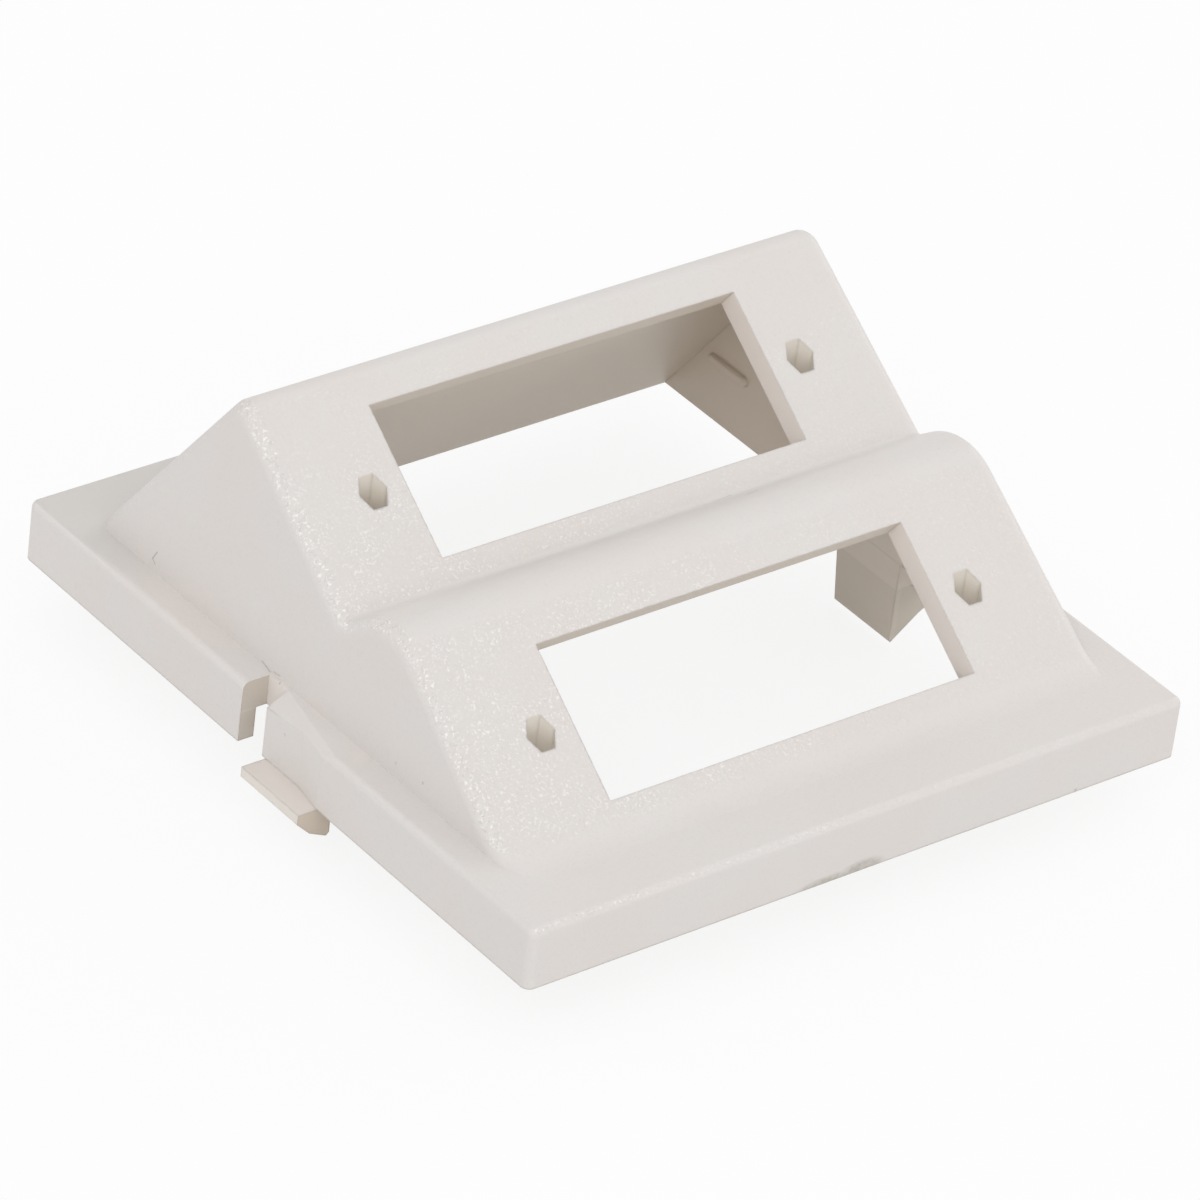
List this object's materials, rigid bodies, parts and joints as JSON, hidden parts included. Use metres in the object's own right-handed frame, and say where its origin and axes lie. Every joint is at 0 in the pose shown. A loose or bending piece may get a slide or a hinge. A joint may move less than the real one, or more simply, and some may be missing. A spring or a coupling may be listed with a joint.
{
  "type": "snap-in faceplate insert",
  "caption": "Moulded snap-in faceplate insert with stepped, sloped faces that hold connector windows, screw pilot holes and snap hooks on a rimmed base.",
  "frame": {"origin": "middle of the footprint, in the plane of the rim's lower edge, where the insert meets the wall plate's back face", "axes": "+X along the connector windows, +Y from the low front edge to the high back edge, +Z out of the wall plate towards the user"},
  "size_m": [0.0536, 0.0524, 0.0235],
  "materials": {
    "insert_plastic": "fine spark-eroded grain, warm light grey"
  },
  "bodies": {
    "root": {"faceplate_insert": "insert_plastic"}
  },
  "joints": []
}
